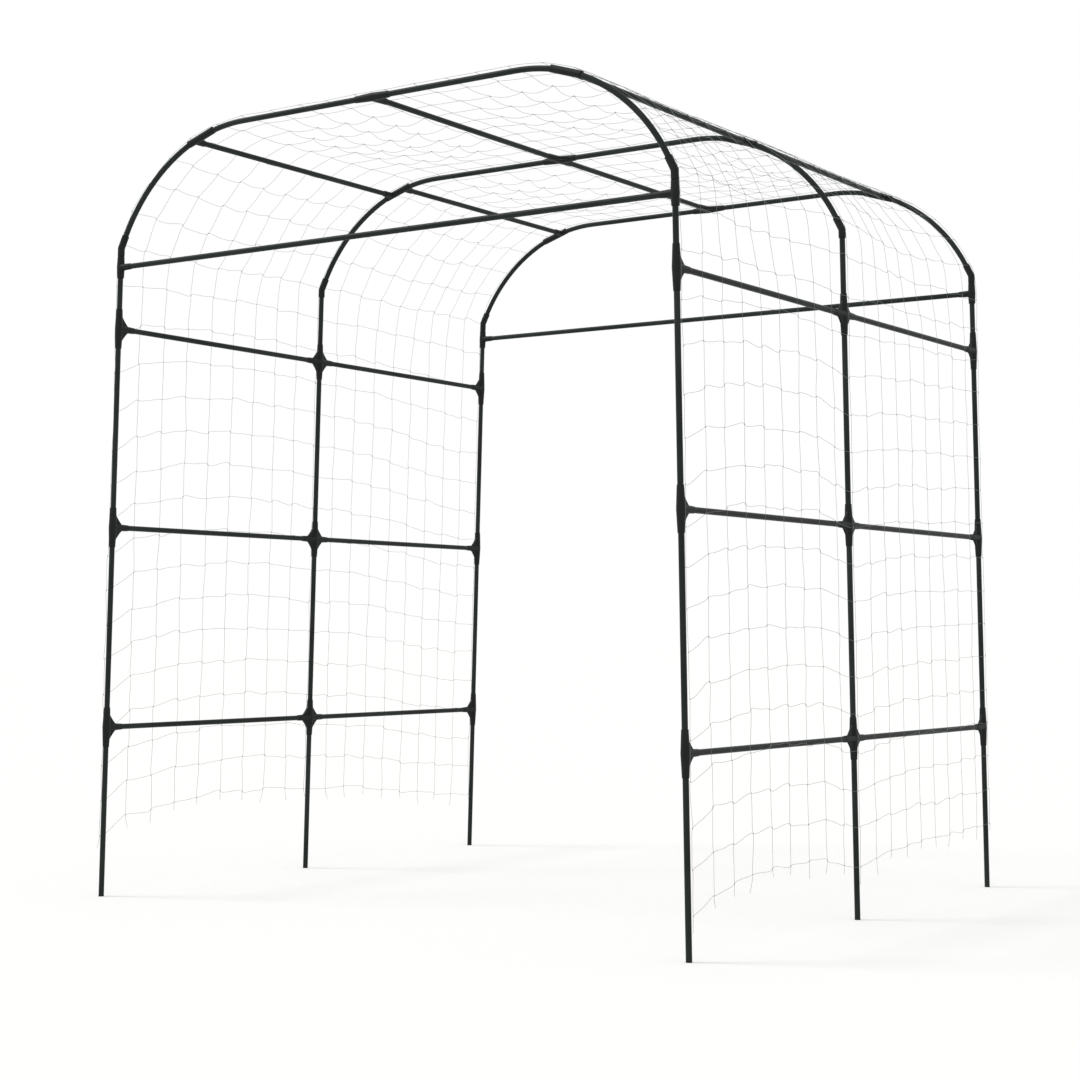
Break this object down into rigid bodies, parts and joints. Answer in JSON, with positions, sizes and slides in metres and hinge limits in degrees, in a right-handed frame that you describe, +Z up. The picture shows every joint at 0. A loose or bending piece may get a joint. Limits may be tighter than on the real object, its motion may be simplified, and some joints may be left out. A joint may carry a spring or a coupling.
{
  "type": "garden trellis arch",
  "caption": "Walk-through garden arch: three tube hoops joined by side rails, roof purlins and tie bars in moulded connectors, under a climbing net.",
  "frame": {"origin": "on the ground, in the middle of the walkway", "axes": "+X across the walkway to the right, +Y along the walkway to the back, +Z up"},
  "size_m": [2.0597, 1.8642, 2.284],
  "materials": {
    "coated_steel": "satin black plastic coating over thin-walled steel tube",
    "connector_plastic": "moulded black plastic, fine matte grain",
    "net_plastic": "pale grey extruded strand net"
  },
  "bodies": {
    "root": {"corner_elbows": "connector_plastic", "crown_tubes_back": "coated_steel", "crown_tubes_front": "coated_steel", "crown_tubes_middle": "coated_steel", "foot_tube_left_back": "coated_steel", "foot_tube_left_front": "coated_steel", "foot_tube_left_middle": "coated_steel", "foot_tube_right_back": "coated_steel", "foot_tube_right_front": "coated_steel", "foot_tube_right_middle": "coated_steel", "lower_leg_tube_left_back": "coated_steel", "lower_leg_tube_left_front": "coated_steel", "lower_leg_tube_left_middle": "coated_steel", "lower_leg_tube_right_back": "coated_steel", "lower_leg_tube_right_front": "coated_steel", "lower_leg_tube_right_middle": "coated_steel", "net": "net_plastic", "ridge_connectors": "connector_plastic", "ridge_purlins": "coated_steel", "shoulder_connectors": "connector_plastic", "shoulder_purlins_left": "coated_steel", "shoulder_purlins_right": "coated_steel", "shoulder_tubes_back": "coated_steel", "shoulder_tubes_front": "coated_steel", "shoulder_tubes_middle": "coated_steel", "side_crosses": "connector_plastic", "side_rails_left_high": "coated_steel", "side_rails_left_low": "coated_steel", "side_rails_left_middle": "coated_steel", "side_rails_right_high": "coated_steel", "side_rails_right_low": "coated_steel", "side_rails_right_middle": "coated_steel", "side_tees": "connector_plastic", "tie_bar_back": "coated_steel", "tie_bar_front": "coated_steel", "tie_tees": "connector_plastic", "top_leg_tube_left_back": "coated_steel", "top_leg_tube_left_front": "coated_steel", "top_leg_tube_left_middle": "coated_steel", "top_leg_tube_right_back": "coated_steel", "top_leg_tube_right_front": "coated_steel", "top_leg_tube_right_middle": "coated_steel", "upper_leg_tube_left_back": "coated_steel", "upper_leg_tube_left_front": "coated_steel", "upper_leg_tube_left_middle": "coated_steel", "upper_leg_tube_right_back": "coated_steel", "upper_leg_tube_right_front": "coated_steel", "upper_leg_tube_right_middle": "coated_steel"}
  },
  "joints": []
}
